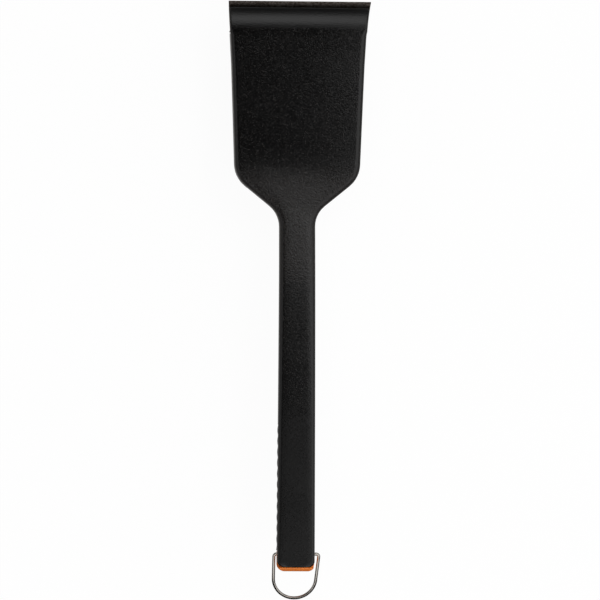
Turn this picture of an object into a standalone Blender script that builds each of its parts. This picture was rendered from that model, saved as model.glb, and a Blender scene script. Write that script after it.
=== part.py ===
# Grill brush: a long handled brush with a steel scraper, a replaceable nylon pad and a wire hang loop.
# Metres. +X right, +Y from the handle towards the scraper, +Z up, bristle tips on z = 0.
# Most sizes along the brush are distances from its front edge, as one would measure them with a rule.
import math

import bmesh
import bpy
import numpy as np
from mathutils import Matrix, Vector

# Whole brush
overall_length = 0.470
clearance = 0.0003
wall = 0.0024

# Plan outline
head_half_width = 0.0532
head_taper = 0.036
shoulder_distance = 0.1383
shoulder_slope = 1.23
shoulder_radius = 0.023
neck_half_width = 0.0140
neck_radius = 0.0205
handle_growth = 0.0025
mid_head_distances = (0.050, 0.090)
handle_station_step = 0.020

# Flared lip and front wall
blade_reach = 0.0051
lip_foot = 0.0215
lip_angle = math.radians(50)
lip_thickness = 0.0026
flare_spread = 0.0017
flare_length = 0.0602
wall_setback = 0.0032
wall_draft = 0.0005

# Heights and depths
bristle_length = 0.0255
pad_thickness = 0.0046
tray_thickness = 0.0024
head_depth = 0.0140
neck_depth = 0.0172
end_depth = 0.0200
handle_upper_depth = 0.0085
depth_change_run = 0.050
rise_before_shoulder = 0.0060
neck_run = 0.035
neck_slope = math.tan(math.radians(9))
end_slope = math.tan(math.radians(0.5))
levelling_length = 0.070

# Rounded edges of the upper shell
lip_edge_radius = 0.0012
lip_foot_edge_radius = 0.0018
head_edge_radius = 0.0045
neck_edge_radius = 0.0047
end_edge_radius = 0.0022
neck_crown = 0.0008
end_crown = 0.0004
bottom_edge_radius = 0.0065
end_corner_radius = 0.0046
least_radius = 0.0005
crown_facets = (0.62, 0.25)
widest_rounding = 0.8
tallest_rounding = 0.9

# Scraper blade
blade_thickness = 0.0012
blade_bend_radius = 0.0020
blade_proud = 0.0003
blade_floor_gap = 0.0010
scraper_screw_spread = 0.675
scraper_screw_rise = 0.45

# Tray and rails
tray_end_after_shoulder = 0.0085
rail_margin = 0.0008
rail_web = 0.0022
rail_lip = 0.0017
rail_hook = 0.0018
stop_width = 0.0025
tray_screw_spread = 0.675
tray_screw_margin = 0.0110

# Brush pad
pad_behind_wall = 0.0053
pad_before_shoulder = 0.0065
pad_flange = 0.0022
strip_count = 9
strip_width = 0.0062
strip_thickness = 0.0016
strip_margin = 0.0050
strip_end_margin = 0.0026
tufts_per_strip = 9
strand_half_gap = 0.0011
strand_splay_x = 0.0015
strand_splay_y = 0.0022
strand_root_radius = 0.00085
strand_tip_radius = 0.00065

# Grip
grip_length = 0.0986
grip_thickness = 0.0016
rib_pitch = 0.00853
rib_crest = 0.0004
rib_depth = 0.0006
rib_end_gap = 0.0010

# Loop and end cap
loop_half_width_at_pins = 0.0176
loop_half_width = 0.0167
loop_leg_length = 0.0206
pin_bend_radius = 0.0021
pin_length = 0.0080
wire_radius = 0.00125
loop_droop = math.radians(20)
pin_clearance = 0.0003
pivot_below_seam = 0.0034
pivot_to_shell_end = 0.0099
cap_proud = 0.0034
cap_front_run = 0.0028
cap_corner_radius = 0.0056
cap_round_over = 0.0032
cap_top_step = 0.0005
groove_count = 4
first_groove = 0.0042
groove_pitch = 0.0032
groove_width = 0.0007
groove_depth = 0.0005

# Screws
screw_head_radius = 0.0031
screw_head_height = 0.0011
screw_head_flat = 0.62
screw_head_rim = 0.45
screw_tip_share = 0.4
screw_sides = 12
screw_shank_radius = 0.0015
short_screw_length = 0.0085
long_screw_length = 0.0120
boss_radius = 0.0038
recess_depth = 0.0014
thread_depth = 0.0080
recess_cross = 0.0034
recess_slot = 0.0008
recess_floor = 0.4
seat_boss_radius = 0.0048
seat_boss_height = 0.0028
handle_screw_count = 3
first_handle_screw_run = 0.0240
last_handle_screw_gap = 0.0140
cap_screw_behind_pivot = 0.0010

# Values that follow from those above
lip_radius = (lip_foot - blade_reach) / math.sin(lip_angle)
front_wall = lip_foot + wall_setback
wall_foot = front_wall + wall_draft
rise_start = shoulder_distance - rise_before_shoulder
underside_start = shoulder_distance + tray_end_after_shoulder
pad_start = front_wall + pad_behind_wall
pad_end = shoulder_distance - pad_before_shoulder
pad_bottom = bristle_length
pad_top = pad_bottom + pad_thickness
tray_bottom = pad_top + clearance
tray_top = tray_bottom + tray_thickness
head_floor = tray_top + clearance
head_top = head_floor + head_depth
neck_distance = shoulder_distance + (
    head_half_width - head_taper * (shoulder_distance - lip_foot) - neck_half_width
) / shoulder_slope
loop_reach = loop_leg_length + loop_half_width
pivot_distance = overall_length - wire_radius - loop_reach * math.cos(loop_droop)
shell_end = pivot_distance + pivot_to_shell_end
cap_end = shell_end + cap_proud
cap_start = pivot_distance - cap_front_run
grip_start = cap_start - grip_length
screw_hole_radius = screw_shank_radius + clearance

curve_steps = 5
bend_steps = 7
lip_steps = 11
corner_steps = 9
blade_steps = 8
pin_bend_steps = 4
loop_end_steps = 9
round_sides = 16
reach_through = 0.0060
above_everything = 0.150


def material(name, colour, roughness, metallic=0.0):
    made = bpy.data.materials.new(name)
    made.use_nodes = True
    shader = made.node_tree.nodes["Principled BSDF"]
    shader.inputs["Base Color"].default_value = (*colour, 1.0)
    shader.inputs["Roughness"].default_value = roughness
    shader.inputs["Metallic"].default_value = metallic
    return made


def clear_scene():
    for old in list(bpy.data.objects):
        bpy.data.objects.remove(old, do_unlink=True)


clear_scene()
brush_parts = bpy.data.collections.new("grill_brush")
brush_cutters = bpy.data.collections.new("cutters")
bpy.context.scene.collection.children.link(brush_parts)
bpy.context.scene.collection.children.link(brush_cutters)

black_shell = material("black_shell", (0.022, 0.021, 0.020), 0.55)
black_underside = material("black_underside", (0.020, 0.019, 0.018), 0.60)
black_grip = material("black_grip", (0.016, 0.016, 0.016), 0.75)
black_pad = material("black_pad", (0.018, 0.018, 0.018), 0.60)
orange_cap = material("orange_cap", (0.78, 0.20, 0.02), 0.35)
dark_steel = material("dark_steel", (0.16, 0.14, 0.12), 0.45, 1.0)
screw_steel = material("screw_steel", (0.35, 0.35, 0.34), 0.35, 1.0)
polished_wire = material("polished_wire", (0.75, 0.75, 0.76), 0.12, 1.0)
nylon = material("nylon", (0.030, 0.030, 0.032), 0.50)


def spread(first, last, count):
    """Evenly spaced values, both ends included."""
    return [float(v) for v in np.linspace(first, last, count)]


def along(distance):
    """Y of a place, from its distance behind the front edge."""
    return overall_length / 2 - distance


def filleted(distance, corner, before, after, radius):
    """Two straight edges of the plan that meet at corner, rounded there."""
    first, second = math.atan(before), math.atan(after)
    run = radius * math.tan(abs(second - first) / 2)
    start = corner[0] - run * math.cos(first)
    if distance <= start:
        return corner[1] + (distance - corner[0]) * before
    if distance >= corner[0] + run * math.cos(second):
        return corner[1] + (distance - corner[0]) * after
    side = 1 if second > first else -1
    centre = start - side * radius * math.sin(first)
    height = corner[1] + (start - corner[0]) * before + side * radius * math.cos(first)
    return height - side * math.sqrt(radius**2 - (distance - centre) ** 2)


def half_width(distance):
    """Half the width of head, shoulders and handle, seen from above."""
    shoulder = (shoulder_distance, head_half_width - head_taper * (shoulder_distance - lip_foot))
    neck = (neck_distance, neck_half_width)
    if distance < (shoulder_distance + neck_distance) / 2:
        half = filleted(distance, shoulder, -head_taper, -shoulder_slope, shoulder_radius)
    else:
        half = filleted(distance, neck, -shoulder_slope, handle_growth, neck_radius)
    if distance < flare_length:
        half += flare_spread * ((flare_length - distance) / flare_length) ** 2
    return half


def rounded_half_width(distance, end, radius):
    """The plan outline with the corners of an end rounded."""
    into_corner = distance - (end - radius)
    if into_corner <= 0:
        return half_width(distance)
    return half_width(distance) - radius + math.sqrt(max(radius**2 - into_corner**2, 0.0))


def slant(distance):
    """How much a thickness grows when it is measured across the brush at a slanted edge."""
    step = 0.0005
    return math.hypot(1, (half_width(distance + step) - half_width(distance - step)) / (2 * step))


def top_height(distance):
    """Height of the back: flared lip, flat head, bend at the neck, then a handle that levels out."""
    if distance < lip_foot:
        return head_top + lip_radius - math.sqrt(lip_radius**2 - (lip_foot - distance) ** 2)
    if distance <= rise_start:
        return head_top
    bend = min(distance - rise_start, neck_run)
    height = head_top + neck_slope * bend**2 / (2 * neck_run)
    run = max(distance - rise_start - neck_run, 0.0)
    levelled = levelling_length * (1 - math.exp(-run / levelling_length))
    return height + end_slope * run + (neck_slope - end_slope) * levelled


def lip_underside(distance):
    """Height of the flared lip's lower face, which the blade lies against."""
    outer = lip_radius + lip_thickness
    back = max(lip_foot - distance, 0.0)
    return head_top + lip_radius - math.sqrt(outer**2 - back**2)


def seam_height(distance):
    """Lower edge of the back shell, flat over the tray and then climbing up the side of the handle."""
    change = min(max((distance - underside_start) / depth_change_run, 0.0), 1.0)
    eased = change * change * (3 - 2 * change)
    return head_floor + (top_height(distance) - handle_upper_depth - head_floor) * eased


def bottom_height(distance):
    """Underside of neck and handle."""
    share = (distance - underside_start) / (shell_end - underside_start)
    return top_height(distance) - neck_depth - (end_depth - neck_depth) * share


def edge_radius(distance):
    """Rounding between the back and the sides, from the sharp lip to the soft handle."""
    places = (blade_reach, lip_foot, front_wall + wall, shoulder_distance, neck_distance, shell_end)
    radii = (
        lip_edge_radius,
        lip_foot_edge_radius,
        head_edge_radius,
        head_edge_radius,
        neck_edge_radius,
        end_edge_radius,
    )
    return float(np.interp(distance, places, radii))


def crown(distance):
    """How far the edges of the rounded handle lie below its middle."""
    places = (rise_start, rise_start + neck_run, shell_end)
    return float(np.interp(distance, places, (0.0, neck_crown, end_crown)))


def upper_section(distance, bottom, inset=0.0, end=None, corner=0.0):
    """Closed outline of the back shell across the brush: sides, rounded edges, crowned top."""
    half = half_width(distance) if end is None else rounded_half_width(distance, end, corner)
    half -= inset * slant(distance)
    top = top_height(distance) - inset
    radius = max(edge_radius(distance) - inset, least_radius)
    across = min(radius * slant(distance), half * widest_rounding)
    right = [(half, bottom)]
    for turn in spread(0, math.pi / 2, curve_steps):
        right.append((half - across * (1 - math.cos(turn)), top - radius * (1 - math.sin(turn))))
    flat = half - across
    right += [(flat * share, top) for share in crown_facets]
    fall = crown(distance)
    right = [right[0]] + [(x, z - fall * (x / half) ** 2) for x, z in right[1:]]
    left = [(-x, z) for x, z in reversed(right)]
    return [(x, along(distance), z) for x, z in right + left]


def lower_section(distance, top, inset=0.0, end=None, corner=0.0, bottom=None):
    """Closed outline of the lower half of the handle: flat top, sides, rounded bottom."""
    half = half_width(distance) if end is None else rounded_half_width(distance, end, corner)
    half -= inset * slant(distance)
    low = (bottom_height(distance) if bottom is None else bottom) + inset
    radius = max(min(bottom_edge_radius, (top - low + inset) * tallest_rounding) - inset, least_radius)
    across = min(radius * slant(distance), half * widest_rounding)
    right = []
    for turn in spread(0, math.pi / 2, curve_steps):
        right.append((half - across * (1 - math.sin(turn)), low + radius * (1 - math.cos(turn))))
    right.append((half, top))
    left = [(-x, z) for x, z in reversed(right)]
    return [(x, along(distance), z) for x, z in right + left]


def place(mesh, name, finish, collection=brush_parts):
    """A mesh becomes a named object with its own finish."""
    made = bpy.data.objects.new(name, mesh)
    collection.objects.link(made)
    made.data.materials.clear()
    made.data.materials.append(finish)
    if collection is brush_cutters:
        made.hide_render = True
        made.display_type = "WIRE"
    return made


def smooth(thing, angle=30):
    thing.data.shade_smooth()
    thing.data.set_sharp_from_angle(angle=math.radians(angle))


def mesh_from(shape):
    """Turns a finished edit mesh into mesh data."""
    mesh = bpy.data.meshes.new("shape")
    shape.to_mesh(mesh)
    shape.free()
    return mesh


def loft(sections):
    """A closed skin over sections with equal numbers of points."""
    shape = bmesh.new()
    rings = [[shape.verts.new(point) for point in section] for section in sections]
    for ring, following in zip(rings, rings[1:]):
        for i in range(len(ring)):
            j = (i + 1) % len(ring)
            shape.faces.new((ring[i], ring[j], following[j], following[i]))
    shape.faces.new(rings[0])
    shape.faces.new(rings[-1])
    bmesh.ops.recalc_face_normals(shape, faces=shape.faces)
    return mesh_from(shape)


def block(low, high):
    """A box between two corners."""
    shape = bmesh.new()
    size = [b - a for a, b in zip(low, high)]
    middle = [(a + b) / 2 for a, b in zip(low, high)]
    bmesh.ops.create_cube(shape, size=1, matrix=Matrix.Translation(middle) @ Matrix.Diagonal((*size, 1)))
    return mesh_from(shape)


def rod(start, end, radius, sides=round_sides):
    """A round bar between two points."""
    start, end = Vector(start), Vector(end)
    turn = (end - start).to_track_quat("Z", "Y").to_matrix().to_4x4()
    shape = bmesh.new()
    bmesh.ops.create_cone(
        shape,
        cap_ends=True,
        segments=sides,
        radius1=radius,
        radius2=radius,
        depth=(end - start).length,
        matrix=Matrix.Translation((start + end) / 2) @ turn,
    )
    return mesh_from(shape)


def boolean(target, mesh, operation, name):
    """Cuts or joins a helper shape, which stays in the cutters' collection."""
    helper = place(mesh, target.name + "_" + name, black_shell, brush_cutters)
    change = target.modifiers.new(name, "BOOLEAN")
    change.operation = operation
    change.object = helper
    return helper


def cut(target, mesh, name):
    return boolean(target, mesh, "DIFFERENCE", name)


def join(target, mesh, name):
    return boolean(target, mesh, "UNION", name)


def flat_plate(outline, thickness, bottom):
    """A flat shape from a filled 2D curve."""
    curve = bpy.data.curves.new("outline", "CURVE")
    curve.dimensions = "2D"
    curve.fill_mode = "BOTH"
    curve.extrude = thickness / 2
    spline = curve.splines.new("POLY")
    spline.points.add(len(outline) - 1)
    for point, (x, y) in zip(spline.points, outline):
        point.co = (x, y, 0.0, 1.0)
    spline.use_cyclic_u = True
    carrier = bpy.data.objects.new("outline", curve)
    brush_cutters.objects.link(carrier)
    mesh = bpy.data.meshes.new_from_object(carrier.evaluated_get(bpy.context.evaluated_depsgraph_get()))
    bpy.data.objects.remove(carrier)
    shape = bmesh.new()
    shape.from_mesh(mesh)
    bmesh.ops.remove_doubles(shape, verts=shape.verts, dist=0.00001)
    bmesh.ops.recalc_face_normals(shape, faces=shape.faces)
    bmesh.ops.translate(shape, verts=shape.verts, vec=(0, 0, bottom + thickness / 2))
    return mesh_from(shape)


def corner_stations(end, radius):
    """Distances through the rounded corners of an end, the last one on the end itself."""
    return [end - radius * (1 - math.sin(turn)) for turn in spread(0, math.pi / 2, corner_steps)]


def shoulder_stations():
    """Distances through both bends of the shoulders."""
    taper, slope = math.atan(head_taper), math.atan(shoulder_slope)
    outer_run = shoulder_radius * math.tan((slope - taper) / 2)
    inner_run = neck_radius * math.tan(slope / 2)
    outer = (shoulder_distance - outer_run, shoulder_distance + outer_run * math.cos(slope))
    inner = (neck_distance - inner_run * math.cos(slope), neck_distance + inner_run)
    return spread(*outer, bend_steps) + spread(*inner, bend_steps)


def lip_stations():
    return [lip_foot - lip_radius * math.sin(turn) for turn in spread(lip_angle, 0, lip_steps)]


def handle_stations(start, end):
    return spread(start, end, max(int((end - start) / handle_station_step), 2))


def boss_bottom(distance):
    return bottom_height(distance) + recess_depth + seat_boss_height + clearance


def handle_screw_distances():
    first = neck_distance + first_handle_screw_run
    return spread(first, grip_start - last_handle_screw_gap, handle_screw_count)


def scraper_screw_places():
    height = head_floor + (head_depth - lip_thickness - blade_bend_radius) * scraper_screw_rise
    return [(side * scraper_screw_spread * head_half_width, height) for side in (-1, 0, 1)]


def tray_screw_places():
    distances = (pad_start + tray_screw_margin, pad_end - tray_screw_margin)
    return [(side * tray_screw_spread * head_half_width, d) for d in distances for side in (-1, 1)]


def rail_half_width():
    """Outer face of the rails, just inside the head where the shoulders begin."""
    return half_width(pad_end + stop_width + 2 * clearance) - rail_margin


def pad_half_width():
    """Half the width of the pad between the hooks of the rails."""
    return rail_half_width() - rail_web - rail_hook - clearance


def back_shell():
    bend = shoulder_stations()
    corners = corner_stations(shell_end, end_corner_radius)
    handle = handle_stations(bend[-1], corners[0])
    outer = [upper_section(d, lip_underside(d)) for d in lip_stations() + [front_wall]]
    body = [wall_foot, front_wall + wall, *mid_head_distances, *bend, *handle[1:-1]]
    outer += [upper_section(d, seam_height(d)) for d in body]
    outer += [upper_section(d, seam_height(d), 0, shell_end, end_corner_radius) for d in corners]
    shell = place(loft(outer), "back_shell", black_shell)
    hollow_start = wall_foot + wall
    hollow = [hollow_start, *mid_head_distances, *bend, *handle[1:], shell_end + reach_through]
    cavity = [upper_section(d, seam_height(d) - reach_through, wall) for d in hollow]
    cut(shell, loft(cavity), "hollow")
    ceiling = head_top - wall / 2
    for i, (x, z) in enumerate(scraper_screw_places()):
        front, back = along(wall_foot + wall / 2), along(wall_foot + wall + thread_depth)
        join(shell, rod((x, front, z), (x, back, z), boss_radius), f"scraper_boss_{i}")
        hole = rod((x, along(lip_foot), z), (x, back + wall / 2, z), screw_hole_radius)
        cut(shell, hole, f"scraper_hole_{i}")
    for i, (x, d) in enumerate(tray_screw_places()):
        y = along(d)
        join(shell, rod((x, y, head_floor), (x, y, ceiling), boss_radius), f"tray_boss_{i}")
        cut(shell, rod((x, y, 0), (x, y, head_floor + thread_depth), screw_hole_radius), f"tray_hole_{i}")
    for i, d in enumerate(handle_screw_distances()):
        y, low = along(d), boss_bottom(d)
        join(shell, rod((0, y, low), (0, y, top_height(d) - wall / 2), boss_radius), f"handle_boss_{i}")
        cut(shell, rod((0, y, 0), (0, y, low + thread_depth), screw_hole_radius), f"handle_hole_{i}")
    y, low = along(cap_screw_distance()), cap_boss_bottom()
    join(shell, rod((0, y, low), (0, y, top_height(cap_screw_distance()) - wall / 2), boss_radius), "cap_boss")
    cut(shell, rod((0, y, 0), (0, y, low + thread_depth), screw_hole_radius), "cap_hole")
    smooth(shell)


def blade_line():
    """Side view of the blade as (distance, height): flange, bend, lip curve, straight edge."""
    half = blade_thickness / 2
    level = head_top - lip_thickness - clearance - half
    flange = front_wall - clearance - half
    line = [(flange, head_floor + blade_floor_gap)]
    for turn in spread(0, math.pi / 2, curve_steps):
        line.append(
            (
                flange - blade_bend_radius * (1 - math.cos(turn)),
                level - blade_bend_radius * (1 - math.sin(turn)),
            )
        )
    curve = lip_radius + lip_thickness + clearance + half
    for turn in spread(0, lip_angle, blade_steps):
        line.append((lip_foot - curve * math.sin(turn), head_top + lip_radius - curve * math.cos(turn)))
    edge = half * math.sin(lip_angle)
    run = line[-1][0] - edge
    line.append((edge, line[-1][1] + run * math.tan(lip_angle)))
    return line


def scraper_blade():
    shape = bmesh.new()
    rows = []
    for distance, height in blade_line():
        half = half_width(distance) + blade_proud
        rows.append([shape.verts.new((side * half, along(distance), height)) for side in (-1, 1)])
    for row, following in zip(rows, rows[1:]):
        shape.faces.new((row[0], row[1], following[1], following[0]))
    blade = place(mesh_from(shape), "scraper_blade", dark_steel)
    thicken = blade.modifiers.new("thickness", "SOLIDIFY")
    thicken.thickness = blade_thickness
    thicken.offset = 0
    thicken.use_even_offset = True
    for i, (x, z) in enumerate(scraper_screw_places()):
        reach = (along(lip_foot - reach_through), along(front_wall + wall))
        cut(blade, rod((x, reach[0], z), (x, reach[1], z), screw_hole_radius), f"hole_{i}")
    smooth(blade)


def screw_mesh(length):
    """A pan head screw along Z, its head above z = 0 and its shank below."""
    profile = (
        (0, screw_head_height),
        (screw_head_radius * screw_head_flat, screw_head_height),
        (screw_head_radius, screw_head_height * screw_head_rim),
        (screw_head_radius, 0),
        (screw_shank_radius, 0),
        (screw_shank_radius, -length + screw_shank_radius),
        (screw_shank_radius * screw_tip_share, -length),
        (0, -length),
    )
    line = bpy.data.meshes.new("screw_profile")
    line.from_pydata([(r, 0, z) for r, z in profile], [(i, i + 1) for i in range(len(profile) - 1)], [])
    blank = bpy.data.objects.new("screw_blank", line)
    brush_cutters.objects.link(blank)
    turned = blank.modifiers.new("turned", "SCREW")
    turned.steps = screw_sides
    turned.render_steps = screw_sides
    turned.use_merge_vertices = True
    turned.merge_threshold = 0.00001
    for i, (x, y) in enumerate(((recess_cross, recess_slot), (recess_slot, recess_cross))):
        low = (-x / 2, -y / 2, screw_head_height * recess_floor)
        helper = cut(blank, block(low, (x / 2, y / 2, screw_head_height * 2)), f"recess_{i}")
        helper.name = f"screw_recess_{i}_{length:.4f}"
    bpy.context.view_layer.update()
    mesh = bpy.data.meshes.new_from_object(blank.evaluated_get(bpy.context.evaluated_depsgraph_get()))
    for change in blank.modifiers:
        if change.type == "BOOLEAN":
            bpy.data.objects.remove(change.object)
    bpy.data.objects.remove(blank)
    mesh.materials.clear()
    mesh.materials.append(screw_steel)
    return mesh


def place_screw(mesh, name, location, rotation):
    screw = bpy.data.objects.new(name, mesh)
    brush_parts.objects.link(screw)
    screw.location = location
    screw.rotation_euler = rotation
    smooth(screw)


def screws():
    short, long = screw_mesh(short_screw_length), screw_mesh(long_screw_length)
    facing_front = (-math.pi / 2, 0, 0)
    facing_down = (math.pi, 0, 0)
    seat = along(front_wall - 2 * clearance - blade_thickness)
    for i, (x, z) in enumerate(scraper_screw_places()):
        place_screw(short, f"scraper_screw_{i + 1}", (x, seat, z), facing_front)
    for i, (x, d) in enumerate(tray_screw_places()):
        place_screw(short, f"tray_screw_{i + 1}", (x, along(d), tray_bottom + screw_head_height), facing_down)
    for i, d in enumerate(handle_screw_distances()):
        seat = bottom_height(d) + recess_depth - clearance
        place_screw(short, f"handle_screw_{i + 1}", (0, along(d), seat), facing_down)
    d = cap_screw_distance()
    place_screw(long, "cap_screw", (0, along(d), bottom_height(d) + recess_depth - clearance), facing_down)


def head_outline(start, end):
    """Plan of the head between two distances, both sides."""
    bends = [d for d in shoulder_stations() if start < d < end]
    stations = [start, *mid_head_distances, *bends, end]
    right = [(half_width(d), along(d)) for d in stations]
    return right + [(-x, y) for x, y in reversed(right)]


def rail(side):
    """An L shaped rail along the tray, whose hook holds the pad's flange."""
    half = rail_half_width()
    outer, web, hook = (side * (half - inward) for inward in (0, rail_web, rail_web + rail_hook))
    hook_top = pad_top - pad_flange - clearance
    hook_bottom = hook_top - rail_lip
    root = tray_bottom + tray_thickness / 2
    profile = (
        (outer, root),
        (outer, hook_bottom),
        (hook, hook_bottom),
        (hook, hook_top),
        (web, hook_top),
        (web, root),
    )
    ends = (along(pad_start), along(pad_end + clearance + stop_width / 2))
    return loft([[(x, y, z) for x, z in profile] for y in ends])


def rail_stop():
    """A bar across the ends of the rails, which the pad's back edge meets."""
    half = rail_half_width() - rail_web / 2
    front = along(pad_end + clearance)
    low = pad_top - pad_flange - rail_lip
    return block((-half, front - stop_width, low), (half, front, tray_bottom + tray_thickness / 2))


def pad_tray():
    outline = head_outline(wall_foot, underside_start - clearance)
    tray = place(flat_plate(outline, tray_thickness, tray_bottom), "pad_tray", black_underside)
    for side in (-1, 1):
        join(tray, rail(side), f"rail_{side}")
    join(tray, rail_stop(), "stop")
    for i, (x, d) in enumerate(tray_screw_places()):
        y, seat = along(d), tray_bottom + screw_head_height + clearance
        head = screw_head_radius + clearance
        cut(tray, rod((x, y, 0), (x, y, seat), head), f"recess_{i}")
        cut(tray, rod((x, y, 0), (x, y, head_top), screw_hole_radius), f"hole_{i}")
    smooth(tray)


def brush_plate(carrier):
    body = pad_half_width()
    edge = body + rail_hook
    front, back = along(pad_start), along(pad_end)
    plate = place(block((-body, back, pad_bottom), (body, front, pad_top)), "brush_plate", black_pad)
    low = (-edge, back + clearance, pad_top - pad_flange)
    join(plate, block(low, (edge, front - clearance, pad_top - clearance / 2)), "flange")
    for i, y in enumerate(strip_places()):
        half_length = strip_half_length() + clearance
        half = strip_width / 2 + clearance
        low = (-half_length, y - half, pad_bottom - reach_through)
        high = (half_length, y + half, pad_bottom + strip_thickness + clearance)
        cut(plate, block(low, high), f"slot_{i}")
    plate.parent = carrier
    smooth(plate)


def strip_half_length():
    return pad_half_width() - strip_end_margin


def strip_places():
    margin = strip_margin + strip_width / 2
    return spread(along(pad_start + margin), along(pad_end - margin), strip_count)


def strand(x, y, lean_x, lean_y):
    """One bristle, four sided and tapered, cut off level at the tip."""
    root = strip_thickness / 2
    shape = bmesh.new()
    bmesh.ops.create_cone(
        shape,
        cap_ends=True,
        segments=4,
        radius1=strand_tip_radius,
        radius2=strand_root_radius,
        depth=bristle_length + root,
        matrix=Matrix.Translation((x, y, (root - bristle_length) / 2)),
    )
    for vert in shape.verts:
        if vert.co.z < 0:
            vert.co += Vector((lean_x, lean_y, 0))
    return mesh_from(shape)


def tufts():
    """All the strands of one strip, hanging down from z = 0."""
    bunch = bmesh.new()
    reach = strip_half_length() - strip_width / 2
    for middle in spread(-reach, reach, tufts_per_strip):
        for right in (-1, 1):
            for front in (-1, 1):
                x, y = middle + right * strand_half_gap, front * strand_half_gap
                mesh = strand(x, y, right * strand_splay_x, front * strand_splay_y)
                bunch.from_mesh(mesh)
                bpy.data.meshes.remove(mesh)
    return mesh_from(bunch)


def bristle_strips(carrier):
    """Slices of backing with their strands, laid across the pad one behind another."""
    half_length = strip_half_length()
    for i, y in enumerate(strip_places()):
        low = (-half_length, -strip_width / 2, 0)
        high = (half_length, strip_width / 2, strip_thickness)
        strip = place(block(low, high), f"bristle_strip_{i + 1}", nylon)
        strip.location = (0, y, pad_bottom)
        strip.parent = carrier
        strands = join(strip, tufts(), "strands")
        strands.location = strip.location
        strands.parent = carrier
        smooth(strip)


def handle_underside():
    bend = [d for d in shoulder_stations() if d > underside_start]
    straight = handle_stations(bend[-1], grip_start)
    tucked = grip_thickness + clearance
    end = cap_start
    outside = [(underside_start, 0), *((d, 0) for d in bend + straight[1:])]
    outside += [(grip_start + clearance, tucked), *((d, tucked) for d in handle_stations(grip_start, end)[1:])]
    outer = [lower_section(d, seam_height(d) - clearance, inset) for d, inset in outside]
    lower = place(loft(outer), "handle_underside", black_underside)
    inside = [(underside_start + wall, wall), *((d, wall) for d in bend[1:] + straight[1:-1])]
    inside += [(grip_start - wall, wall), (grip_start - wall / 2, wall + tucked)]
    inside += [(d, wall + tucked) for d in handle_stations(grip_start, end)[1:-1] + [end + reach_through]]
    cavity = [lower_section(d, seam_height(d) + reach_through, inset) for d, inset in inside]
    cut(lower, loft(cavity), "hollow")
    for i, d in enumerate(handle_screw_distances()):
        y, low = along(d), bottom_height(d)
        seat = low + recess_depth
        join(lower, rod((0, y, low + wall / 2), (0, y, seat + seat_boss_height), seat_boss_radius), f"seat_{i}")
        cut(lower, rod((0, y, 0), (0, y, seat), screw_head_radius + clearance), f"recess_{i}")
        cut(lower, rod((0, y, 0), (0, y, seat + wall * 3), screw_hole_radius), f"hole_{i}")
    smooth(lower)


def rib_offset(distance):
    """How far the grip stands out from the handle: broad crests between narrow grooves."""
    phase = (distance - grip_start) / rib_pitch
    groove = math.sqrt((1 - math.cos(2 * math.pi * phase)) / 2)
    return rib_crest - rib_depth * (1 - groove)


def grip_sleeve():
    start, end = grip_start + 2 * clearance, cap_start - clearance
    pitches = int((end - start) / rib_pitch)
    stations = [grip_start + rib_pitch * i / 4 for i in range(1, pitches * 4 + 1)]
    stations = [start] + [d for d in stations if start + rib_end_gap < d < end - rib_end_gap] + [end]
    outer = [lower_section(d, seam_height(d) - clearance, -rib_offset(d)) for d in stations]
    sleeve = place(loft(outer), "grip_sleeve", black_grip)
    inner = [start - reach_through, *handle_stations(start, end), end + reach_through]
    cavity = [lower_section(d, seam_height(d) + reach_through, grip_thickness) for d in inner]
    cut(sleeve, loft(cavity), "hollow")
    smooth(sleeve)


def pivot_height():
    return seam_height(pivot_distance) - pivot_below_seam


def cap_screw_distance():
    return pivot_distance + cap_screw_behind_pivot


def cap_boss_bottom():
    return bottom_height(cap_screw_distance()) + long_screw_length - thread_depth / 2


def cap_outline(inset):
    """Plan of the cap's rear from just before the shell's end, moved inwards by inset."""
    start = shell_end - clearance
    stations = [start] + [d for d in corner_stations(cap_end, cap_corner_radius) if d > start]
    right = [(rounded_half_width(d, cap_end, cap_corner_radius) - inset, along(d) + inset) for d in stations]
    return right + [(-x, y) for x, y in reversed(right)]


def cap_groove(cap, drop, name):
    """A fine groove round the cap's rear, level with the handle's slope."""
    around, back = loop_half_width_at_pins, along(cap_end + reach_through)
    inner = cap_outline(groove_depth)
    front = inner[0][1]
    outer = [(-around, front), (-around, back), (around, back), (around, front)]
    ring = cut(cap, flat_plate(outer + inner, groove_width, -groove_width / 2), name)
    pivot = Vector((0, along(cap_end), top_height(cap_end) - cap_top_step - drop))
    turn = Matrix.Rotation(-math.atan(end_slope), 4, "X")
    ring.data.transform(Matrix.Translation(pivot) @ turn @ Matrix.Translation((0, -pivot.y, 0)))


def cap_fall(distance):
    """How far the rounded rear of the cap has turned down from its top, or up from its bottom."""
    into_round = max(distance - (cap_end - cap_round_over), 0.0)
    return cap_round_over - math.sqrt(max(cap_round_over**2 - into_round**2, 0.0))


def cap_section(distance, top, bottom):
    return lower_section(distance, top, 0, cap_end, cap_corner_radius, bottom)


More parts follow.
